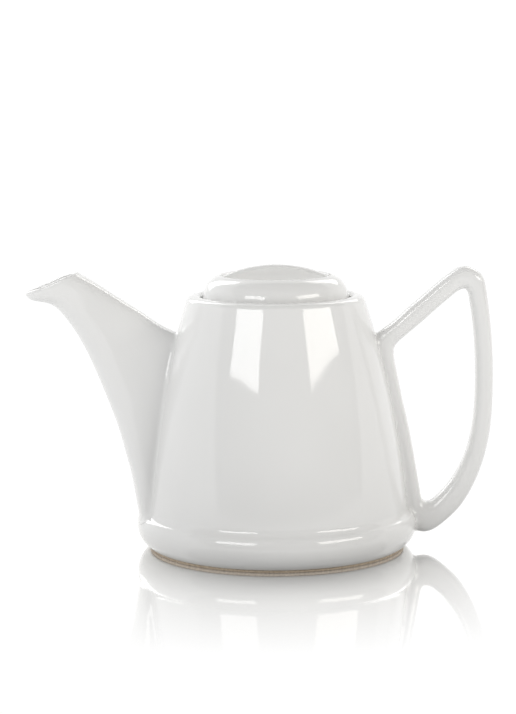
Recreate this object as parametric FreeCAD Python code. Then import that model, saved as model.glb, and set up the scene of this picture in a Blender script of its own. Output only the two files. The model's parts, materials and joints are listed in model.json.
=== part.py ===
import FreeCAD, Part
import math
import os

# White glazed porcelain teapot with a stainless steel infuser basket.
# Millimetres. +Z is up, the foot stands on z = 0, the pot's axis is the Z axis.
# The spout points along -X and the handle along +X.

# --- pot -----------------------------------------------------------------
RIM_Z = 126.8             # crest of the rim
RIM_CREST_R = 40.2        # radius of that crest
SHOULDER_R = 46.4         # radius where the wall turns over into the rim
SHOULDER_Z = 119.0
WAIST_R = 57.6            # radius half way up the wall
WAIST_Z = 73.7
BEAD_R = 70.2             # widest radius of the base bead
BEAD_Z = 11.5
BEAD_TOP_Z = 18.4
WALL_FOOT_R = 65.4        # radius of the wall where it meets the bead
FOOT_R = 65.5             # outer radius of the standing face
FOOT_H = 1.6              # height of the bare ring under the glaze
FOOT_W = 7.0              # width of that ring
WALL = 4.0                # thickness of the porcelain
FLOOR_Z = 4.4             # underside of the pot's floor

# --- mouth ---------------------------------------------------------------
MOUTH_R = 37.6            # radius of the opening in the rim
SEAT_Z = 121.8            # ledge that carries the basket and the lid
THROAT_R = 32.6           # opening inside the ledge
LID_GAP = 0.7             # between lid and rim all round

# --- lid -----------------------------------------------------------------
LID_CREST_R = 27.6        # radius of the round edge of the dish
LID_CREST_Z = 136.8
LID_TOP_Z = 141.9         # top of the grip bar
LID_SIDE_Z = 128.4        # where the lid's side starts to turn over
DISH_FLOOR_Z = 127.6
DISH_FLOOR_R = 19.5
LID_PLATE = 3.6           # porcelain under the dish
BAR_W = 7.2               # thickness of the grip bar
COLLAR_LEN = 11.5         # collar below the underside of the lid
COLLAR_T = 3.2
COLLAR_GAP = 0.7          # between the collar and the basket
VENT_R = 1.6

# --- spout ---------------------------------------------------------------
SPOUT_WALL = 3.4
HOLE_R = 2.4              # strainer holes behind the spout

# --- handle --------------------------------------------------------------
HANDLE_W = 11.6           # across, along Y
HANDLE_ROUND = 3.7        # rounding of its long edges

# --- basket --------------------------------------------------------------
SHEET = 0.5               # steel of the basket
BASKET_GAP = 0.8          # basket wall to throat
BASKET_LEN = 72.0         # ledge to the underside of the basket
RIM_SHEET = 0.8           # rolled rim
RIM_REACH = 4.3           # rim beyond the throat
BASE_RING_H = 4.0
SEAM_W = 5.0
PERF_R = 1.0              # perforations
PERF_COLUMNS = 30
PERF_ROWS = 9
PERF_PITCH = 5.6


def pt(x, z):
    return FreeCAD.Vector(x, 0, z)


def line(a, b):
    return Part.makeLine(pt(*a), pt(*b))


def arc(a, b, c):
    return Part.Arc(pt(*a), pt(*b), pt(*c)).toShape()


def curve(points):
    spline = Part.BSplineCurve()
    spline.interpolate([pt(*p) for p in points])
    return spline.toShape()


def turned(edges):
    """Solid of revolution about Z of a closed outline in the XZ plane."""
    face = Part.Face(Part.Wire(edges))
    solid = face.revolve(FreeCAD.Vector(0, 0, 0), FreeCAD.Vector(0, 0, 1), 360)
    return solid


def ring(r_in, r_out, z_low, z_high):
    outer = Part.makeCylinder(r_out, z_high - z_low, FreeCAD.Vector(0, 0, z_low))
    inner = Part.makeCylinder(r_in, z_high - z_low, FreeCAD.Vector(0, 0, z_low))
    return outer.cut(inner)


def slab(edges, width):
    """Outline in the XZ plane made into a plate centred on y = 0."""
    face = Part.Face(Part.Wire(edges))
    face.translate(FreeCAD.Vector(0, -width / 2, 0))
    return face.extrude(FreeCAD.Vector(0, width, 0))


def outer_edges():
    """Outside of the pot from the foot ring to the rim crest."""
    low = (FOOT_R, FOOT_H)
    wide = (BEAD_R, BEAD_Z)
    top = (WALL_FOOT_R + 2.2, BEAD_TOP_Z)
    root = (WALL_FOOT_R, BEAD_TOP_Z + 2.2)
    shoulder = (SHOULDER_R, SHOULDER_Z)
    crest = (RIM_CREST_R, RIM_Z)
    return [
        arc(low, (FOOT_R + 3.5, FOOT_H + 4.3), wide),
        arc(wide, (BEAD_R - 0.9, BEAD_Z + 4.6), top),
        arc(top, (WALL_FOOT_R + 0.65, BEAD_TOP_Z + 0.65), root),
        arc(root, (WAIST_R, WAIST_Z), shoulder),
        arc(shoulder, (SHOULDER_R - 1.9, RIM_Z - 2.3), crest),
    ]


def pot_envelope():
    """The pot's outside as one full solid, used to trim spout and handle."""
    edges = outer_edges()
    edges.append(line((RIM_CREST_R, RIM_Z), (0, RIM_Z)))
    edges.append(line((0, RIM_Z), (0, FOOT_H)))
    edges.append(line((0, FOOT_H), (FOOT_R, FOOT_H)))
    return turned(edges)


def floor_radius():
    return WALL_FOOT_R - WALL


def pot_body():
    inner_low = (floor_radius(), FLOOR_Z)
    inner_waist = (WAIST_R - WALL, WAIST_Z)
    inner_high = (SHOULDER_R - WALL + 1.4, SHOULDER_Z - 7)
    throat_low = (THROAT_R, SHOULDER_Z - 3)
    throat_high = (THROAT_R, SEAT_Z)
    seat = (MOUTH_R, SEAT_Z)
    mouth = (MOUTH_R, RIM_Z - 1.5)
    crest = (RIM_CREST_R, RIM_Z)
    edges = outer_edges()
    edges.append(arc(crest, (MOUTH_R + 0.7, RIM_Z - 0.5), mouth))
    edges.append(line(mouth, seat))
    edges.append(line(seat, throat_high))
    edges.append(line(throat_high, throat_low))
    edges.append(arc(throat_low, (THROAT_R + 7.4, SHOULDER_Z - 4.0), inner_high))
    edges.append(arc(inner_high, inner_waist, inner_low))
    edges.append(line(inner_low, (floor_radius(), FOOT_H)))
    edges.append(line((floor_radius(), FOOT_H), (FOOT_R, FOOT_H)))
    return turned(edges)


def pot_floor(body):
    """Floor disc with a hollow corner, bounded all round by the pot's wall."""
    r = floor_radius()
    top = FLOOR_Z + WALL
    edges = [
        line((0, FLOOR_Z), (r, FLOOR_Z)),
        line((r, FLOOR_Z), (r, top + 4)),
        arc((r, top + 4), (r - 1.2, top + 1.2), (r - 4, top)),
        line((r - 4, top), (0, top)),
        line((0, top), (0, FLOOR_Z)),
    ]
    return biggest(turned(edges).cut(body))


def foot_ring():
    body = ring(FOOT_R - FOOT_W, FOOT_R, 0, FOOT_H)
    low = [e for e in body.Edges if abs(e.BoundBox.ZMax) < 1e-6]
    return body.makeFillet(0.7, low)


# Spout stations from the mouth down to the bead: the roof line's point, the
# lower edge's point (both x, z), half the width along Y, and how much narrower
# the roof is than the belly.
SPOUT = [
    ((-99.0, 138.6), (-125.3, 126.4), 9.2, -0.12),
    ((-97.2, 137.9), (-123.2, 123.7), 9.4, -0.10),
    ((-92.0, 134.7), (-113.8, 122.4), 9.4, 0.0),
    ((-84.6, 129.7), (-105.6, 116.4), 9.2, 0.08),
    ((-75.5, 123.8), (-98.2, 105.6), 9.4, 0.14),
    ((-65.5, 117.3), (-90.9, 91.2), 10.0, 0.20),
    ((-55.5, 110.8), (-84.9, 76.6), 11.2, 0.26),
    ((-46.0, 104.6), (-79.6, 62.4), 13.0, 0.30),
    ((-44.0, 86.0), (-75.6, 48.6), 15.6, 0.30),
    ((-47.0, 62.0), (-72.4, 36.4), 18.0, 0.26),
    ((-50.0, 41.0), (-70.2, 24.6), 19.8, 0.20),
    ((-52.0, 22.0), (-69.0, 12.6), 20.6, 0.14),
]


def egg(roof, belly, half, pinch, inset):
    """Closed section between two points, squarer at the roof than below."""
    steps = 20
    ax = roof[0] - belly[0]
    az = roof[1] - belly[1]
    length = math.hypot(ax, az)
    mid = ((roof[0] + belly[0]) / 2, (roof[1] + belly[1]) / 2)
    a = length / 2 - inset
    points = []
    for i in range(steps):
        t = 2 * math.pi * i / steps
        c = math.cos(t)
        s = math.sin(t)
        n = 3.0 if c > 0 else 2.3
        along = math.copysign(abs(c) ** (2 / n), c)
        side = half * (1 - pinch * along) - inset
        y = math.copysign(abs(s) ** (2 / n), s) * side
        step = along * a / length
        points.append(FreeCAD.Vector(mid[0] + step * ax, y, mid[1] + step * az))
    spline = Part.BSplineCurve()
    spline.interpolate(points, PeriodicFlag=True)
    return Part.Wire(spline.toShape())


def spout_skin(inset):
    return Part.makeLoft([egg(*station, inset) for station in SPOUT], True, False)


def mouth_plug():
    """Straight run out of the spout's mouth, so the channel opens cleanly."""
    roof, belly = SPOUT[0][:2]
    inner = egg(*SPOUT[0], SPOUT_WALL - 0.8)
    out = FreeCAD.Vector(belly[1] - roof[1], 0, roof[0] - belly[0])
    out.normalize()
    far = inner.copy()
    inner.translate(out * -0.5)
    far.translate(out * 12)
    return Part.makeLoft([inner, far], True, True)


def spout(envelope):
    shell = spout_skin(0).cut(envelope)
    shell = shell.cut(spout_skin(SPOUT_WALL))
    shell = shell.cut(mouth_plug())
    return biggest(shell)


def biggest(shape):
    return max(shape.Solids, key=lambda s: s.Volume)


def strainer_holes():
    """Holes through the pot's wall behind the spout, in staggered rows."""
    rows = [(34, 3), (43, 2), (52, 3), (61, 2), (70, 3), (79, 2), (88, 1)]
    drills = []
    for z, count in rows:
        pitch = 7.0
        for i in range(count):
            y = (i - (count - 1) / 2) * pitch
            start = FreeCAD.Vector(-WALL_FOOT_R - WALL, y, z)
            drills.append(Part.makeCylinder(HOLE_R, WALL * 7, start, FreeCAD.Vector(1, 0, 0)))
    return Part.makeCompound(drills)


def handle(envelope):
    outline = [
        line((42.0, 100.4), (85.6, 137.4)),
        arc((85.6, 137.4), (96.6, 140.9), (104.7, 130.2)),
        curve([(104.7, 130.2), (107.3, 112), (109.1, 84), (107.9, 60), (101.6, 34.6),
               (89.6, 16.2), (74.0, 6.4)]),
        line((74.0, 6.4), (60.0, 6.4)),
        line((60.0, 6.4), (42.0, 100.4)),
    ]
    window = [
        line((61.6, 103.4), (90.6, 128.9)),
        arc((90.6, 128.9), (94.4, 129.8), (96.2, 126.4)),
        curve([(96.2, 126.4), (98.8, 108), (100.2, 84), (98.9, 61), (93.6, 42.2), (79.6, 23.4)]),
        arc((79.6, 23.4), (76.2, 22.3), (73.6, 25.0)),
        curve([(73.6, 25.0), (68.9, 51.3), (63.6, 75.7), (59.4, 97.6)]),
        arc((59.4, 97.6), (59.9, 101.0), (61.6, 103.4)),
    ]
    plate = slab(outline, HANDLE_W)
    plate = plate.cut(slab(window, HANDLE_W + 2))
    side = HANDLE_W / 2
    long_edges = []
    for edge in plate.Edges:
        box = edge.BoundBox
        flat = abs(abs(box.YMin) - side) < 1e-3 and abs(box.YMax - box.YMin) < 1e-3
        inside = box.XMin < 61 and box.XMax < 75 and box.ZMin < 7
        if flat and not inside:
            long_edges.append(edge)
    plate = plate.makeFillet(HANDLE_ROUND, long_edges)
    return biggest(plate.cut(envelope))


def lid_radius():
    return MOUTH_R - LID_GAP


def lid_bottom():
    return SEAT_Z + RIM_SHEET


def plate_underside():
    return DISH_FLOOR_Z - LID_PLATE


def collar_radius():
    return THROAT_R - BASKET_GAP - SHEET - COLLAR_GAP


def lid_cap():
    r = lid_radius()
    side = (r, LID_SIDE_Z)
    crest_out = (LID_CREST_R + 0.9, LID_CREST_Z - 0.5)
    crest_in = (LID_CREST_R - 1.5, LID_CREST_Z - 0.6)
    dish_low = (DISH_FLOOR_R, DISH_FLOOR_Z)
    under = plate_underside()
    edges = [
        line((0, under), (collar_radius(), under)),
        line((collar_radius(), under), (collar_radius(), lid_bottom())),
        line((collar_radius(), lid_bottom()), (r, lid_bottom())),
        line((r, lid_bottom()), side),
        arc(side, (r - 2.6, LID_CREST_Z - 3.0), crest_out),
        arc(crest_out, (LID_CREST_R - 0.2, LID_CREST_Z), crest_in),
        arc(crest_in, (DISH_FLOOR_R + 4.5, DISH_FLOOR_Z + 3.4), dish_low),
        line(dish_low, (0, DISH_FLOOR_Z)),
        line((0, DISH_FLOOR_Z), (0, under)),
    ]
    cap = turned(edges)
    place = FreeCAD.Vector(0, -DISH_FLOOR_R * 0.6, under - 1)
    return cap.cut(Part.makeCylinder(VENT_R, LID_PLATE + 2, place))


def lid_collar():
    r = collar_radius()
    top = plate_underside()
    body = ring(r - COLLAR_T, r, top - COLLAR_LEN, top)
    low = [e for e in body.Edges if abs(e.BoundBox.ZMax - (top - COLLAR_LEN)) < 1e-6]
    return body.makeFillet(0.9, low)


def lid_grip_bar(cap):
    reach = LID_CREST_R - 0.4
    low = DISH_FLOOR_Z
    edges = [
        line((-reach, low), (-reach, LID_CREST_Z)),
        arc((-reach, LID_CREST_Z), (0, LID_TOP_Z), (reach, LID_CREST_Z)),
        line((reach, LID_CREST_Z), (reach, low)),
        line((reach, low), (-reach, low)),
    ]
    bar = slab(edges, BAR_W)
    top = [e for e in bar.Edges if e.BoundBox.ZMax > LID_TOP_Z - 0.1]
    bar = bar.makeFillet(BAR_W * 0.35, top)
    return biggest(bar.cut(cap))


def basket_radius():
    return THROAT_R - BASKET_GAP


def infuser_rim():
    inner = basket_radius() - SHEET
    reach = THROAT_R + RIM_REACH
    return ring(inner, reach, SEAT_Z, SEAT_Z + RIM_SHEET)


def basket_base_z():
    return SEAT_Z - BASKET_LEN


def infuser_wall():
    r = basket_radius()
    wall = ring(r - SHEET, r, basket_base_z(), SEAT_Z)
    drills = []
    first = basket_base_z() + BASE_RING_H + PERF_PITCH
    for row in range(PERF_ROWS):
        z = first + row * PERF_PITCH
        for column in range(PERF_COLUMNS):
            turn = 2 * math.pi * (column + 0.5 * (row % 2)) / PERF_COLUMNS
            way = FreeCAD.Vector(math.cos(turn), math.sin(turn), 0)
            if abs(way.y * r) < SEAM_W and way.x > 0:
                continue
            start = way * (r - 2) + FreeCAD.Vector(0, 0, z)
            drills.append(Part.makeCylinder(PERF_R, 4, start, way))
    return wall.cut(Part.makeCompound(drills))


def infuser_base():
    r = basket_radius() - SHEET
    disc = Part.makeCylinder(r, SHEET, FreeCAD.Vector(0, 0, basket_base_z()))
    drills = []
    for i in range(-6, 7):
        for j in range(-6, 7):
            x = (i + j / 2) * PERF_PITCH
            y = j * PERF_PITCH * math.sqrt(3) / 2
            if math.hypot(x, y) < r - PERF_PITCH:
                start = FreeCAD.Vector(x, y, basket_base_z() - 1)
                drills.append(Part.makeCylinder(PERF_R, SHEET + 2, start))
    return disc.cut(Part.makeCompound(drills))


def infuser_base_ring():
    r = basket_radius()
    return ring(r, r + SHEET * 0.8, basket_base_z(), basket_base_z() + BASE_RING_H)


def infuser_seam():
    """Lapped and welded strip down the outside of the basket."""
    r = basket_radius()
    low = basket_base_z() + BASE_RING_H
    strip = ring(r, r + SHEET * 0.6, low, SEAT_Z - 3)
    window = Part.makeBox(r * 2, SEAM_W, BASKET_LEN * 2)
    window.translate(FreeCAD.Vector(0, -SEAM_W / 2, low - 10))
    return strip.common(window)


def main():
    os.makedirs("parts", exist_ok=True)
    envelope = pot_envelope()
    body = pot_body()
    cap = lid_cap()
    shapes = {
        "pot_body": body.cut(strainer_holes()),
        "pot_floor": pot_floor(body),
        "foot_ring": foot_ring(),
        "spout": spout(envelope),
        "handle": handle(envelope),
        "lid_cap": cap,
        "lid_collar": lid_collar(),
        "lid_grip_bar": lid_grip_bar(cap),
        "infuser_rim": infuser_rim(),
        "infuser_wall": infuser_wall(),
        "infuser_seam": infuser_seam(),
        "infuser_base_ring": infuser_base_ring(),
        "infuser_base": infuser_base(),
    }
    for name, shape in shapes.items():
        shape.exportStep(os.path.join("parts", name + ".step"))
        box = shape.BoundBox
        print(name, shape.isValid(), len(shape.Solids), round(shape.Volume, 1),
              [round(v, 2) for v in (box.XMin, box.XMax, box.YMin, box.YMax, box.ZMin, box.ZMax)])


main()
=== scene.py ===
"""White porcelain teapot with a steel infuser basket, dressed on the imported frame.

Lengths in the shape functions are millimetres in the row frame; put_skin turns
them into metres. The pot's axis is Z, the spout points along -X, the handle
along +X and the foot stands on z = 0.
"""

import json
import math

import bmesh
import bpy
import numpy as np
from mathutils import Matrix, Vector

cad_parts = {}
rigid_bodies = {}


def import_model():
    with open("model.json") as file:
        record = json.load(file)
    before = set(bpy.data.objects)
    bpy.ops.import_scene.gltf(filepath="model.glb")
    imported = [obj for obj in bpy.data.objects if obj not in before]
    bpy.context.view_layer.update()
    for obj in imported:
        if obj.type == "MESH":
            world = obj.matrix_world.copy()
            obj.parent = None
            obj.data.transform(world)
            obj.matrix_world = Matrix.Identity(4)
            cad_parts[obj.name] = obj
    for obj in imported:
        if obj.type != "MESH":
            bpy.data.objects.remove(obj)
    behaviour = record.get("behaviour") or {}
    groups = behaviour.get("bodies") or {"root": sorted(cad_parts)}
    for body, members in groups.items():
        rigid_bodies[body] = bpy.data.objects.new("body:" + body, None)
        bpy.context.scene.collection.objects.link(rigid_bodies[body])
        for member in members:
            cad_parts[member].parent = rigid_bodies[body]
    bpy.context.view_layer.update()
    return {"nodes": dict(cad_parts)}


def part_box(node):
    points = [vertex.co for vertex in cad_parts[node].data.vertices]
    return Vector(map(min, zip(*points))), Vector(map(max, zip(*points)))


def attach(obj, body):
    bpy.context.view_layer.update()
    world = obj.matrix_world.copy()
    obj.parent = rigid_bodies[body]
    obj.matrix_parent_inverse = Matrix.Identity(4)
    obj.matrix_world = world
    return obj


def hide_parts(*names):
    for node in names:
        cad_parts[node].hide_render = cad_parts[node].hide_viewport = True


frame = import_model()

MM = 0.001

# --- measures shared with the frame ----------------------------------------
POT_LOW, POT_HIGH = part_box("pot_body")
LID_LOW, LID_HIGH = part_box("lid_cap")
BAR_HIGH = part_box("lid_grip_bar")[1]
RIM_LOW, RIM_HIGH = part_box("infuser_rim")
WALL_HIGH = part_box("infuser_wall")[1]

FOOT_TOP = POT_LOW.z / MM
RIM_Z = POT_HIGH.z / MM
FOOT_R = 64.0
GLAZE_LOW_R = 64.6
BEAD = (70.2, 11.3)
WALL_FOOT = (65.6, 21.6)
WAIST = (57.7, 73.7)
SHOULDER = (44.6, 123.8)
RIM_FLAT_R = 41.4
CREST_R = 39.8
STRAINER_R = 2.4
STRAINER_PITCH = 7.0
VENT_R = 1.6
VENT_Y = -11.7
MOUTH_R = 37.6
THROAT_R = 32.6
SEAT_Z = RIM_LOW.z / MM
LID_R = LID_HIGH.x / MM
LID_SEAT_Z = LID_LOW.z / MM
CREST_Z = LID_HIGH.z / MM
DISH_Z = 127.6
BAR_TOP = BAR_HIGH.z / MM
BASKET_R = WALL_HIGH.x / MM
SHEET = 0.5


# --- curves ------------------------------------------------------------------
def arc(a, b, c, count):
    """Points on the circle through a, b and c, from a past b to c.

    The centre solves the two perpendicular bisectors; the angle runs evenly.
    """
    a, b, c = (np.array(p, float) for p in (a, b, c))
    chords = np.array([b - a, c - b])
    halfway = np.array([(b - a) @ (a + b), (c - b) @ (b + c)]) / 2
    centre = np.linalg.solve(chords, halfway)
    start, middle, end = (math.atan2(p[1] - centre[1], p[0] - centre[0]) for p in (a, b, c))
    turn = (end - start) % math.tau
    if (middle - start) % math.tau > turn:
        turn -= math.tau
    angle = start + turn * np.linspace(0, 1, count)
    radius = math.dist(a, centre)
    return centre + radius * np.stack([np.cos(angle), np.sin(angle)], -1)


def run(a, b, count=2):
    """Straight run of evenly spaced points from a to b."""
    return np.linspace(a, b, count)


def outline(*parts):
    """Joins runs end to end, dropping each point that repeats the one before."""
    joined = np.vstack(parts)
    step = np.linalg.norm(np.diff(joined, axis=0), axis=1)
    return joined[np.concatenate([[True], step > 1e-6])]


def smooth(knots, values, at):
    """Natural cubic spline: its second derivatives solve one linear system."""
    knots, values, at = (np.asarray(v, float) for v in (knots, values, at))
    count = len(knots)
    gap = np.diff(knots)
    rise = np.diff(values) / gap
    matrix = np.eye(count)
    right = np.zeros(count)
    inner = np.arange(1, count - 1)
    matrix[inner, inner - 1] = gap[:-1]
    matrix[inner, inner] = 2 * (gap[:-1] + gap[1:])
    matrix[inner, inner + 1] = gap[1:]
    right[1:-1] = 6 * np.diff(rise)
    bend = np.linalg.solve(matrix, right)
    i = np.clip(np.searchsorted(knots, at) - 1, 0, count - 2)
    near, far, h = at - knots[i], knots[i + 1] - at, gap[i]
    return (
        (bend[i] * far**3 + bend[i + 1] * near**3) / (6 * h)
        + (values[i] / h - bend[i] * h / 6) * far
        + (values[i + 1] / h - bend[i + 1] * h / 6) * near
    )


def power(value, exponent):
    """value to an exponent, keeping its sign."""
    return np.sign(value) * np.abs(value) ** exponent


# --- surfaces ----------------------------------------------------------------
def turned(profile, steps=256):
    """Surface of revolution: each (radius, height) of the profile swept round Z."""
    angle = math.tau * np.arange(steps) / steps
    radius, height = profile[:, :1], profile[:, 1:]
    level = np.broadcast_to(height, (len(profile), steps))
    return np.stack([radius * np.cos(angle), radius * np.sin(angle), level], -1)


def facing(grid, loop):
    """Unit normals of a grid closed round its columns: the cross product of its
    central differences along the rows and round the columns."""
    round_it = np.roll(grid, -1, 1) - np.roll(grid, 1, 1)
    if loop:
        along = np.roll(grid, -1, 0) - np.roll(grid, 1, 0)
    else:
        along = np.gradient(grid, axis=0)
    normal = np.cross(round_it, along)
    return normal / np.maximum(np.linalg.norm(normal, axis=-1, keepdims=True), 1e-12)


def put_skin(name, grid, body, material, loop=False, replaces=()):
    """One closed mesh from a grid of points closed round its columns.

    Rows join end to end if loop is set; rows that shrink to a point become
    poles. The faces are turned so that the enclosed volume is positive.
    """
    rows, columns = grid.shape[:2]
    index = np.arange(rows * columns).reshape(rows, columns)
    if loop:
        index = np.vstack([index, index[:1]])
    beside = np.roll(index, -1, 1)
    faces = np.stack([index[:-1], beside[:-1], beside[1:], index[1:]], -1).reshape(-1, 4)
    points = grid.reshape(-1, 3) * MM
    corner = points[faces]
    spread = np.cross(corner[:, 1] - corner[:, 0], corner[:, 2] - corner[:, 0])
    spread += np.cross(corner[:, 2] - corner[:, 0], corner[:, 3] - corner[:, 0])
    if np.einsum("ij,ij->", corner.mean(1), spread) < 0:
        faces = faces[:, ::-1]
    mesh = bpy.data.meshes.new(name)
    mesh.from_pydata(points.tolist(), [], faces.tolist())
    work = bmesh.new()
    work.from_mesh(mesh)
    bmesh.ops.remove_doubles(work, verts=work.verts, dist=1e-7)
    work.to_mesh(mesh)
    work.free()
    mesh.shade_smooth()
    mesh.materials.append(material)
    piece = bpy.data.objects.new(name, mesh)
    bpy.context.scene.collection.objects.link(piece)
    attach(piece, body)
    if replaces:
        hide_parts(*replaces)
    return piece


def pierce(piece, drills):
    """Cuts straight round holes through a piece for good; each drill is
    (start, end, radius) in millimetres. Edges sharper than 0.7 rad stay crisp."""
    work = bmesh.new()
    for start, end, radius in drills:
        start, end = Vector(start) * MM, Vector(end) * MM
        turn = (end - start).to_track_quat("Z", "Y").to_matrix().to_4x4()
        place = Matrix.Translation((start + end) / 2) @ turn
        bmesh.ops.create_cone(work, cap_ends=True, segments=32, matrix=place,
                              radius1=radius * MM, radius2=radius * MM,
                              depth=(end - start).length)
    mesh = bpy.data.meshes.new("drills")
    work.to_mesh(mesh)
    work.free()
    cutter = bpy.data.objects.new("drills", mesh)
    bpy.context.scene.collection.objects.link(cutter)
    cut = piece.modifiers.new("holes", "BOOLEAN")
    cut.operation = "DIFFERENCE"
    cut.solver = "EXACT"
    cut.object = cutter
    bpy.context.view_layer.update()
    cut_piece = piece.evaluated_get(bpy.context.evaluated_depsgraph_get())
    pierced = bpy.data.meshes.new_from_object(cut_piece)
    piece.modifiers.clear()
    piece.data = pierced
    pierced.set_sharp_from_angle(angle=0.7)
    bpy.data.objects.remove(cutter)


# --- the pot's own outline ---------------------------------------------------
def pot_outside():
    """Outer outline from the rim's crest down to the glaze line at the foot."""
    return outline(
        arc((CREST_R, RIM_Z), (40.6, RIM_Z - 0.05), (RIM_FLAT_R, RIM_Z - 0.2), 5),
        arc((RIM_FLAT_R, RIM_Z - 0.2), (43.6, RIM_Z - 1.15), SHOULDER, 16),
        arc(SHOULDER, WAIST, WALL_FOOT, 80),
        arc(WALL_FOOT, (66.15, 19.4), (67.5, 17.8), 12),
        arc((67.5, 17.8), (68.6, 16.9), (69.4, 15.6), 8),
        arc((69.4, 15.6), (70.0, 13.5), BEAD, 8),
        arc(BEAD, (68.8, FOOT_TOP + 4.6), (GLAZE_LOW_R, FOOT_TOP), 18),
    )


def pot_inside():
    """From the glaze line across the foot, under the floor, and back up inside
    to the rim's crest, in the order that closes the outline."""
    floor_r = 61.6
    under, top = 4.4, 8.4
    return [
        outline(
            run((GLAZE_LOW_R, FOOT_TOP), (floor_r + 0.6, FOOT_TOP), 3),
            arc((floor_r + 0.6, FOOT_TOP), (floor_r - 0.2, FOOT_TOP + 0.9),
                (floor_r - 1.2, under - 0.7), 6),
            run((floor_r - 1.8, under), (0, under), 12),
        ),
        outline(
            run((0, top), (floor_r - 5, top), 12),
            arc((floor_r - 5, top), (floor_r - 1.2, top + 1.4), (floor_r, top + 5), 8),
            arc((floor_r, top + 5), (53.7, 73.7), (44.2, 112.0), 40),
            arc((44.2, 112.0), (40.0, 115.0), (THROAT_R + 1.2, 116.0), 8),
            arc((THROAT_R + 1.2, 116.0), (THROAT_R + 0.3, 116.4), (THROAT_R, 117.2), 5),
            run((THROAT_R, 117.2), (THROAT_R, SEAT_Z - 0.8), 3),
            arc((THROAT_R, SEAT_Z - 0.8), (THROAT_R + 0.25, SEAT_Z - 0.22),
                (THROAT_R + 0.8, SEAT_Z), 4),
            run((THROAT_R + 0.8, SEAT_Z), (MOUTH_R - 0.6, SEAT_Z), 4),
            arc((MOUTH_R - 0.6, SEAT_Z), (MOUTH_R - 0.18, SEAT_Z + 0.18), (MOUTH_R, SEAT_Z + 0.6), 4),
            run((MOUTH_R, SEAT_Z + 0.6), (MOUTH_R, RIM_Z - 1.9), 3),
            arc((MOUTH_R, RIM_Z - 1.9), (MOUTH_R + 0.6, RIM_Z - 0.5), (CREST_R, RIM_Z), 8),
        ),
    ]


def clearance(points, line):
    """Signed distance of points from an outline turned round Z, and the way out.

    The nearest point of every straight piece of the outline is found in the
    (radius, height) plane; the distance is positive on the outline's left.
    """
    flat = points.reshape(-1, 3)
    reach = np.hypot(flat[:, 0], flat[:, 1])
    spot = np.stack([reach, flat[:, 2]], -1)[:, None]
    start, way = line[:-1], np.diff(line, axis=0)
    share = np.clip(((spot - start) * way).sum(-1) / (way * way).sum(-1), 0, 1)
    gap = spot - (start + share[..., None] * way)
    distance = np.hypot(gap[..., 0], gap[..., 1])
    best = np.argmin(distance, 1)
    pick = np.arange(len(flat))
    out = np.stack([-way[best, 1], way[best, 0]], -1)
    out /= np.linalg.norm(out, axis=1, keepdims=True)
    side = np.sign((gap[pick, best] * out).sum(-1))
    outward = np.stack([out[:, 0] * flat[:, 0] / reach, out[:, 0] * flat[:, 1] / reach, out[:, 1]], -1)
    return (side * distance[pick, best]).reshape(points.shape[:-1]), outward.reshape(points.shape)


def flared(grid, normal, line, radius):
    """Gives a piece a hollow fillet where it meets a turned surface.

    A point at height h above that surface moves sideways along it by
    radius - sqrt(radius^2 - (radius - h)^2), a quarter circle, for h from 0
    to radius, and by the full radius below.
    """
    height, outward = clearance(grid, line)
    sideways = normal - (normal * outward).sum(-1, keepdims=True) * outward
    sideways /= np.maximum(np.linalg.norm(sideways, axis=-1, keepdims=True), 0.2)
    short = radius - np.clip(height, 0, radius)
    push = radius - np.sqrt(np.maximum(radius**2 - short**2, 0))
    return grid + sideways * push[..., None]


def strainer_drills():
    """Straining holes behind the spout, level and parallel, in staggered rows:
    each row is a height and a number of holes, spread evenly about the middle."""
    rows = [(34, 3), (43, 2), (52, 3), (61, 2), (70, 3), (79, 2), (88, 1)]
    places = [(STRAINER_PITCH * (i - (count - 1) / 2), z) for z, count in rows for i in range(count)]
    return [((-66.5, y, z), (-44.0, y, z), STRAINER_R) for y, z in places]


POT_OUTSIDE = pot_outside()


# --- spout -------------------------------------------------------------------
# From the mouth down to the bead: roof point, belly point (x, z), half the
# width, and how much narrower the roof is than the belly.
SPOUT_STATIONS = np.array([
    (-99.3, 139.2, -125.0, 128.3, 9.2, -0.12),
    (-97.5, 137.9, -123.1, 125.8, 9.4, -0.10),
    (-92.3, 134.8, -114.0, 123.5, 9.4, 0.0),
    (-84.9, 130.1, -105.7, 117.2, 9.2, 0.08),
    (-75.9, 124.2, -98.3, 106.4, 9.4, 0.14),
    (-65.9, 117.7, -91.1, 91.8, 10.0, 0.20),
    (-56.0, 111.1, -85.2, 77.2, 11.2, 0.26),
    (-46.5, 104.8, -79.9, 62.9, 13.0, 0.30),
    (-44.6, 86.2, -76.0, 49.1, 15.6, 0.30),
    (-47.8, 62.2, -72.9, 36.9, 18.0, 0.26),
    (-50.9, 41.3, -70.8, 25.0, 19.8, 0.20),
    (-53.0, 22.3, -68.5, 12.0, 20.6, 0.14),
])
SPOUT_WALL = 3.2


def spout_point(station, angle):
    """Egg-shaped section: between the roof and belly points by a signed power
    of the cosine, out to the side by a signed power of the sine, and narrowed
    towards the roof. The stations are joined by a cubic spline."""
    middle = (SPOUT_STATIONS[:, 0:2] + SPOUT_STATIONS[:, 2:4]) / 2
    step = np.linalg.norm(np.diff(middle, axis=0), axis=1)
    knots = np.concatenate([[0], np.cumsum(step)])
    knots /= knots[-1]
    roof_x, roof_z, belly_x, belly_z, half, pinch = (
        smooth(knots, column, station) for column in SPOUT_STATIONS.T
    )
    cosine, sine = np.cos(angle), np.sin(angle)
    exponent = np.where(cosine > 0, 2 / 3.0, 2 / 2.3)
    along = power(cosine, exponent)
    across = power(sine, exponent)
    x = (roof_x + belly_x) / 2 + along * (roof_x - belly_x) / 2
    z = (roof_z + belly_z) / 2 + along * (roof_z - belly_z) / 2
    return np.stack([x, across * half * (1 - pinch * along), z], -1)


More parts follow.
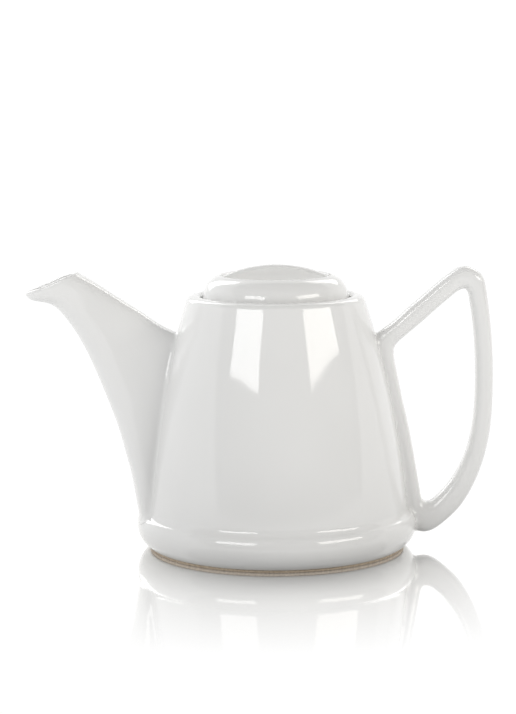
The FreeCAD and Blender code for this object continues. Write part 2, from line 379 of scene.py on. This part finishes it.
def spout_grid(columns=128):
    """Outer skin from inside the pot's wall to the mouth, a half-round lip, and
    the inner skin back down, each row ending where the pot's wall cuts it."""
    angle = math.tau * (np.arange(columns) + 0.5) / columns
    probe = np.linspace(0, 1, 300)[:, None]
    height, _ = clearance(spout_point(probe, angle), POT_OUTSIDE)
    at = np.argmax(height < 0, 0)
    column = np.arange(columns)
    before, after = height[at - 1, column], height[at, column]
    meet = (at - 1 + before / (before - after)) / 299
    sunk = height < -2.2
    deep = np.where(sunk.any(0), np.argmax(sunk, 0), 299) / 299
    deep = np.maximum(deep, meet + 0.004)
    lip = 0.012
    eased = 1 - (1 - np.linspace(0, 1, 120)) ** 1.7
    shown = lip + (meet - lip) * eased[:, None]
    hidden = meet + (deep - meet) * np.linspace(0, 1, 6)[1:, None]
    station = np.vstack([shown, hidden])
    plain = spout_point(station, angle)
    normal = -facing(plain, False)
    if (normal[0, 0] * (plain[0, 0] - plain[0].mean(0))).sum() < 0:
        normal = -normal
    outer = flared(plain, normal, POT_OUTSIDE, 2.2)
    inner = plain - SPOUT_WALL * normal
    forward = plain[0] - plain[1]
    forward /= np.linalg.norm(forward, axis=-1, keepdims=True)
    roll = np.linspace(0, math.pi, 9)[1:-1, None, None]
    centre = plain[0] - SPOUT_WALL / 2 * normal[0]
    lip_rows = centre + SPOUT_WALL / 2 * (np.cos(roll) * normal[0] + np.sin(roll) * forward)
    return np.vstack([outer[::-1], lip_rows, inner[::2]])


# --- handle ------------------------------------------------------------------
HANDLE_WIDTH = 11.6

# Round the finger hole: point on the hole's edge, point on the outer edge
# (x, z). Along the pot the outer points lie inside its wall.
HANDLE_STATIONS = np.array([
    (61.1, 103.0, 54.8, 110.5),
    (70.9, 111.4, 64.6, 118.9),
    (80.6, 120.0, 74.3, 127.3),
    (88.2, 126.5, 82.1, 134.0),
    (91.1, 128.6, 87.9, 138.3),
    (93.7, 129.3, 94.0, 140.6),
    (95.4, 127.8, 101.7, 137.0),
    (96.2, 124.3, 104.8, 128.7),
    (97.3, 117.4, 106.2, 118.3),
    (98.7, 104.8, 107.6, 104.8),
    (99.4, 91.3, 108.3, 91.3),
    (99.4, 77.3, 108.3, 76.8),
    (98.5, 63.8, 107.5, 61.7),
    (96.1, 51.2, 104.8, 46.7),
    (91.9, 40.0, 100.0, 32.7),
    (85.8, 30.4, 92.6, 19.7),
    (79.8, 23.9, 83.5, 10.7),
    (76.2, 21.8, 73.6, 6.2),
    (73.6, 22.6, 63.4, 11.6),
    (72.2, 27.1, 60.0, 25.1),
    (70.4, 37.5, 58.3, 36.2),
    (68.1, 50.8, 56.2, 49.4),
    (65.7, 63.0, 53.8, 61.2),
    (62.9, 75.3, 51.1, 73.0),
    (60.2, 88.6, 48.6, 86.9),
    (58.8, 96.4, 47.1, 97.3),
    (59.2, 100.3, 48.9, 105.3),
])


def handle_grid(rows=720, columns=80):
    """A rounded section carried round the finger hole: between hole edge and
    outer edge by a signed power of the cosine, across by one of the sine. The
    stations are joined by a closed cubic spline."""
    wrap = 4
    table = np.vstack([HANDLE_STATIONS[-wrap:], HANDLE_STATIONS, HANDLE_STATIONS[:wrap + 1]])
    middle = (table[:, :2] * 0.62 + table[:, 2:] * 0.38)
    knots = np.concatenate([[0], np.cumsum(np.linalg.norm(np.diff(middle, axis=0), axis=1))])
    begin, end = knots[wrap], knots[wrap + len(HANDLE_STATIONS)]
    at = (begin + (end - begin) * np.arange(rows) / rows)[:, None]
    hole_x, hole_z, edge_x, edge_z = (smooth(knots, column, at) for column in table.T)
    angle = math.tau * (np.arange(columns) + 0.5) / columns
    along = power(np.cos(angle), 2 / 2.75)
    across = power(np.sin(angle), 2 / 2.75)
    grid = np.stack([
        (hole_x + edge_x) / 2 + along * (edge_x - hole_x) / 2,
        np.broadcast_to(across * HANDLE_WIDTH / 2, (rows, columns)),
        (hole_z + edge_z) / 2 + along * (edge_z - hole_z) / 2,
    ], -1)
    normal = facing(grid, True)
    if (normal[0, 0] * (grid[0, 0] - grid[0].mean(0))).sum() < 0:
        normal = -normal
    return flared(grid, normal, POT_OUTSIDE, 1.8)


# --- lid ---------------------------------------------------------------------
def lid_outside():
    """From the middle of the dish up over the crest and down the lid's side."""
    return outline(
        run((0, DISH_Z), (17.0, DISH_Z), 8),
        arc((17.0, DISH_Z), (22.8, DISH_Z + 2.4), (26.0, CREST_Z - 1.0), 16),
        arc((26.0, CREST_Z - 1.0), (27.2, CREST_Z - 0.05), (28.8, CREST_Z - 0.35), 8),
        arc((28.8, CREST_Z - 0.35), (33.9, CREST_Z - 4.1), (LID_R - 1.1, 128.4), 24),
        run((LID_R - 1.1, 128.4), (LID_R - 0.15, LID_SEAT_Z + 0.7), 6),
    )


def lid_profile():
    """The whole lid: outside, seat, collar, and the hollow underneath."""
    under = DISH_Z - 3.6
    collar, hollow = 30.6, 27.4
    low = under - 11.5
    return outline(
        lid_outside(),
        arc((LID_R - 0.15, LID_SEAT_Z + 0.7), (LID_R - 0.25, LID_SEAT_Z + 0.2),
            (LID_R - 0.7, LID_SEAT_Z), 4),
        run((LID_R - 0.7, LID_SEAT_Z), (collar + 0.5, LID_SEAT_Z), 3),
        arc((collar + 0.5, LID_SEAT_Z), (collar + 0.15, LID_SEAT_Z - 0.15),
            (collar, LID_SEAT_Z - 0.5), 4),
        run((collar, LID_SEAT_Z - 0.5), (collar, low + 1.2), 4),
        arc((collar, low + 1.2), ((collar + hollow) / 2, low), (hollow, low + 1.2), 8),
        run((hollow, low + 1.2), (hollow, under - 1.5), 4),
        arc((hollow, under - 1.5), (hollow - 0.45, under - 0.45), (hollow - 1.5, under), 4),
        run((hollow - 1.5, under), (0, under), 6),
    )


def grip_bar_grid(rows=150, columns=72):
    """A rounded bar across the dish: its top follows one circle from tip to
    tip, its foot sinks into the dish, and both ends close inside the crest."""
    reach, tip = 28.2, 25.2
    along = np.sin(np.linspace(-math.pi / 2, math.pi / 2, rows))[:, None]
    x = along * reach
    rise = BAR_TOP - CREST_Z
    radius = (tip**2 + rise**2) / (2 * rise)
    top = BAR_TOP - radius + np.sqrt(radius**2 - x**2)
    foot = DISH_Z - 2.0
    size = np.sqrt(np.clip(1 - np.abs(along) ** 30, 0, 1))
    angle = math.tau * np.arange(columns) / columns
    up = power(np.cos(angle), 2 / 3.2)
    side = power(np.sin(angle), 2 / 3.2)
    half = 3.6 * size
    grid = np.stack([
        np.broadcast_to(x, (rows, columns)),
        half * side,
        (top + foot) / 2 + up * size * (top - foot) / 2,
    ], -1)
    normal = facing(grid, False)
    if (normal[rows // 2, 0] * (0, 0, 1)).sum() < 0:
        normal = -normal
    return flared(grid, normal, lid_outside(), 1.6)


# --- foot and basket ---------------------------------------------------------
def foot_profile():
    """Ground standing ring with its two lower edges eased."""
    low, high = 0.0, FOOT_TOP
    outer, inner = FOOT_R - 0.15, 61.6
    return outline(
        run((outer, high), (outer, low + 0.7), 3),
        arc((outer, low + 0.7), (outer - 0.2, low + 0.2), (outer - 0.7, low), 5),
        run((outer - 0.7, low), (inner + 0.7, low), 4),
        arc((inner + 0.7, low), (inner + 0.2, low + 0.2), (inner, low + 0.7), 5),
        run((inner, low + 0.7), (inner, high), 3),
        run((inner, high), (outer, high), 3),
    )[:-1]


def basket_rim_profile():
    """Flat steel rim with its outer edge rolled over."""
    z, thick = SEAT_Z, RIM_HIGH.z / MM - SEAT_Z
    inner, outer = BASKET_R - SHEET, RIM_HIGH.x / MM
    return outline(
        run((inner, z), (outer - 0.4, z), 4),
        arc((outer - 0.4, z), (outer, z + thick / 2), (outer - 0.4, z + thick), 7),
        run((outer - 0.4, z + thick), (inner + 0.3, z + thick), 4),
        arc((inner + 0.3, z + thick), (inner + 0.1, z + thick - 0.1), (inner, z + thick - 0.3), 4),
        run((inner, z + thick - 0.3), (inner, z), 2),
    )[:-1]


# --- materials ---------------------------------------------------------------
def shader(name, **sockets):
    """A new node material with its constant values set on the shader."""
    material = bpy.data.materials.new(name)
    material.use_nodes = True
    nodes = material.node_tree.nodes
    principled = nodes["Principled BSDF"]
    for key, value in sockets.items():
        principled.inputs[key.replace("_", " ")].default_value = value
    return material, nodes, material.node_tree.links, principled


def object_noise(nodes, links, scale, detail=3.0, stretch=(1, 1, 1)):
    """Noise on object coordinates, in cycles per metre."""
    place = nodes.new("ShaderNodeTexCoord")
    mapping = nodes.new("ShaderNodeMapping")
    mapping.inputs["Scale"].default_value = stretch
    noise = nodes.new("ShaderNodeTexNoise")
    noise.inputs["Scale"].default_value = scale
    noise.inputs["Detail"].default_value = detail
    links.new(place.outputs["Object"], mapping.inputs["Vector"])
    links.new(mapping.outputs["Vector"], noise.inputs["Vector"])
    return noise.outputs["Fac"]


def ramp(nodes, links, source, low, high, start=0.3, stop=0.7):
    """Colour between low and high as source goes from start to stop."""
    blend = nodes.new("ShaderNodeValToRGB")
    blend.color_ramp.elements[0].position = start
    blend.color_ramp.elements[1].position = stop
    blend.color_ramp.elements[0].color = (*low, 1)
    blend.color_ramp.elements[1].color = (*high, 1)
    links.new(source, blend.inputs["Fac"])
    return blend.outputs["Color"]


def spread(nodes, links, source, low, high):
    """Number between low and high as source goes from 0.3 to 0.7."""
    fit = nodes.new("ShaderNodeMapRange")
    fit.inputs["From Min"].default_value = 0.3
    fit.inputs["From Max"].default_value = 0.7
    fit.inputs["To Min"].default_value = low
    fit.inputs["To Max"].default_value = high
    links.new(source, fit.inputs["Value"])
    return fit.outputs["Result"]


def relief(nodes, links, source, depth, strength=1.0, under=None):
    """Bump of the given depth in metres."""
    bump = nodes.new("ShaderNodeBump")
    bump.inputs["Distance"].default_value = depth
    bump.inputs["Strength"].default_value = strength
    links.new(source, bump.inputs["Height"])
    if under is not None:
        links.new(under, bump.inputs["Normal"])
    return bump.outputs["Normal"]


def white_glaze():
    """Clear glaze over white porcelain: a faint drift of colour, slow waves in
    the glaze and a finer ripple on them."""
    material, nodes, links, shade = shader("white_glaze", IOR=1.5)
    drift = object_noise(nodes, links, 14, 2)
    tint = ramp(nodes, links, drift, (0.80, 0.80, 0.79), (0.84, 0.84, 0.832))
    links.new(tint, shade.inputs["Base Color"])
    haze = object_noise(nodes, links, 60, 3)
    links.new(spread(nodes, links, haze, 0.04, 0.08), shade.inputs["Roughness"])
    waves = relief(nodes, links, object_noise(nodes, links, 38, 1), 0.00020)
    ripple = relief(nodes, links, object_noise(nodes, links, 190, 0.5), 0.000016, under=waves)
    links.new(ripple, shade.inputs["Normal"])
    return material


def bare_porcelain():
    """Ground, unglazed foot: warm, matt and finely grained."""
    material, nodes, links, shade = shader("bare_porcelain", Roughness=0.85)
    grain = object_noise(nodes, links, 900, 4)
    tint = ramp(nodes, links, grain, (0.42, 0.33, 0.24), (0.62, 0.52, 0.40))
    links.new(tint, shade.inputs["Base Color"])
    grit = relief(nodes, links, object_noise(nodes, links, 2500, 3), 0.00008)
    links.new(grit, shade.inputs["Normal"])
    return material


def brushed_steel():
    """Stainless sheet with fine level brushing: noise drawn out round the
    basket drives roughness, colour and a shallow grain."""
    material, nodes, links, shade = shader("brushed_steel", Metallic=1.0)
    lines = object_noise(nodes, links, 260, 4, stretch=(0.35, 0.35, 14))
    tint = ramp(nodes, links, lines, (0.60, 0.60, 0.59), (0.74, 0.74, 0.725))
    links.new(tint, shade.inputs["Base Color"])
    links.new(spread(nodes, links, lines, 0.20, 0.34), shade.inputs["Roughness"])
    links.new(relief(nodes, links, lines, 0.00002), shade.inputs["Normal"])
    return material


GLAZE = white_glaze()
BARE = bare_porcelain()
STEEL = brushed_steel()

# --- pieces ------------------------------------------------------------------
under_foot, up_inside = pot_inside()
pot_profile = outline(under_foot[::-1], POT_OUTSIDE[::-1], up_inside[::-1])
shell = put_skin("pot_shell", turned(pot_profile), "pot", GLAZE,
                 replaces=("pot_body", "pot_floor"))
pierce(shell, strainer_drills())
put_skin("pouring_spout", spout_grid(), "pot", GLAZE, loop=True, replaces=("spout",))
put_skin("loop_handle", handle_grid(), "pot", GLAZE, loop=True, replaces=("handle",))
put_skin("standing_ring", turned(foot_profile()), "pot", BARE, loop=True,
         replaces=("foot_ring",))
lid = put_skin("lid_shell", turned(lid_profile()), "lid", GLAZE,
               replaces=("lid_cap", "lid_collar"))
pierce(lid, [((0, VENT_Y, DISH_Z - 8), (0, VENT_Y, DISH_Z + 4), VENT_R)])
put_skin("lid_bar", grip_bar_grid(), "lid", GLAZE, replaces=("lid_grip_bar",))
put_skin("basket_rim", turned(basket_rim_profile()), "infuser", STEEL, loop=True,
         replaces=("infuser_rim",))
for node in ("infuser_wall", "infuser_seam", "infuser_base_ring", "infuser_base"):
    mesh = frame["nodes"][node].data
    mesh.materials.clear()
    mesh.materials.append(STEEL)


# --- stage, light and camera -------------------------------------------------
def table_top():
    """White lit table with a polished patch round the pot: the mirror share
    falls from nine tenths at the foot to almost none at the patch's edge, by
    the distance from the pot's axis."""
    material = bpy.data.materials.new("table_top")
    material.use_nodes = True
    nodes, links = material.node_tree.nodes, material.node_tree.links
    nodes.clear()
    place = nodes.new("ShaderNodeTexCoord")
    reach = nodes.new("ShaderNodeVectorMath")
    reach.operation = "LENGTH"
    links.new(place.outputs["Object"], reach.inputs[0])
    share = nodes.new("ShaderNodeMapRange")
    share.inputs["From Min"].default_value = 0.065
    share.inputs["From Max"].default_value = 0.214
    share.inputs["To Min"].default_value = 0.90
    share.inputs["To Max"].default_value = 0.02
    links.new(reach.outputs["Value"], share.inputs["Value"])
    lit = nodes.new("ShaderNodeEmission")
    lit.inputs["Strength"].default_value = 1.03
    polish = nodes.new("ShaderNodeBsdfGlossy")
    polish.inputs["Color"].default_value = (1, 0.995, 0.98, 1)
    polish.inputs["Roughness"].default_value = 0.04
    mix = nodes.new("ShaderNodeMixShader")
    links.new(share.outputs["Result"], mix.inputs["Fac"])
    links.new(lit.outputs["Emission"], mix.inputs[1])
    links.new(polish.outputs["BSDF"], mix.inputs[2])
    out = nodes.new("ShaderNodeOutputMaterial")
    links.new(mix.outputs["Shader"], out.inputs["Surface"])
    return material


def put_floor(size=6.0):
    mesh = bpy.data.meshes.new("floor")
    half = size / 2
    corners = [(-half, -half, 0), (half, -half, 0), (half, half, 0), (-half, half, 0)]
    mesh.from_pydata(corners, [], [(0, 1, 2, 3)])
    mesh.materials.append(table_top())
    floor = bpy.data.objects.new("floor", mesh)
    bpy.context.scene.collection.objects.link(floor)


def around(azimuth, elevation, distance, aim=(0, 0, 0.07)):
    """Place at a bearing from the pot: azimuth 0 is in front, 90 at the handle."""
    a, e = math.radians(azimuth), math.radians(elevation)
    return (
        aim[0] + distance * math.sin(a) * math.cos(e),
        aim[1] - distance * math.cos(a) * math.cos(e),
        aim[2] + distance * math.sin(e),
    )


def softbox(name, azimuth, elevation, across, tall, radiance, colour=(1, 1, 1), distance=1.6):
    """Rectangular light round the pot that looks across by tall degrees large
    from it and shines with the given radiance, on the pieces but not the table."""
    light = bpy.data.lights.new(name, "AREA")
    light.shape = "RECTANGLE"
    light.size = 2 * distance * math.tan(math.radians(across / 2))
    light.size_y = 2 * distance * math.tan(math.radians(tall / 2))
    light.energy = radiance * math.pi * light.size * light.size_y
    light.color = colour
    lamp = bpy.data.objects.new(name, light)
    bpy.context.scene.collection.objects.link(lamp)
    lamp.location = around(azimuth, elevation, distance)
    lamp.rotation_euler = (math.radians(90 - elevation), 0, math.radians(azimuth))
    lamp.light_linking.receiver_collection = LIT


def studio_walls(low=0.245, high=1.14):
    """World that is white behind and beside the pot and dim in front and above:
    the edge lies where -y + z + x/4 passes 0.4."""
    world = bpy.data.worlds.new("pale_studio")
    bpy.context.scene.world = world
    world.use_nodes = True
    nodes, links = world.node_tree.nodes, world.node_tree.links
    place = nodes.new("ShaderNodeTexCoord")
    slope = nodes.new("ShaderNodeVectorMath")
    slope.operation = "DOT_PRODUCT"
    slope.inputs[1].default_value = (0.25, -1.0, 1.0)
    links.new(place.outputs["Generated"], slope.inputs[0])
    edge = nodes.new("ShaderNodeMapRange")
    edge.interpolation_type = "SMOOTHSTEP"
    edge.inputs["From Min"].default_value = 0.37
    edge.inputs["From Max"].default_value = 0.43
    edge.inputs["To Min"].default_value = high
    edge.inputs["To Max"].default_value = low
    links.new(slope.outputs["Value"], edge.inputs["Value"])
    nodes["Background"].inputs["Color"].default_value = (1, 1, 1, 1)
    links.new(edge.outputs["Result"], nodes["Background"].inputs["Strength"])


# Every mesh of the part, gathered before the table joins them.
LIT = bpy.data.collections.new("lit_by_lamps")
for thing in bpy.context.scene.collection.all_objects:
    if thing.type == "MESH":
        LIT.objects.link(thing)
put_floor()
softbox("left_softbox", -35, 24.8, 30.5, 14.5, 6.3)
softbox("right_softbox", 55.5, 24.8, 37, 14.5, 6.2, (1.0, 0.97, 0.92))
softbox("left_kicker", -146, 32, 18, 40, 3.6)
softbox("right_kicker", 150, 38, 16, 30, 2.6, (1.0, 0.985, 0.96))
studio_walls()

camera = bpy.data.cameras.new("camera")
camera.lens = 112.03
viewer = bpy.data.objects.new("camera", camera)
viewer.location = (-0.0081, -1.100, 0.2495)
viewer.rotation_euler = (math.radians(90 - 7.97), math.radians(0.35), 0)
bpy.context.scene.collection.objects.link(viewer)
bpy.context.scene.camera = viewer
bpy.context.scene.view_settings.view_transform = "Standard"
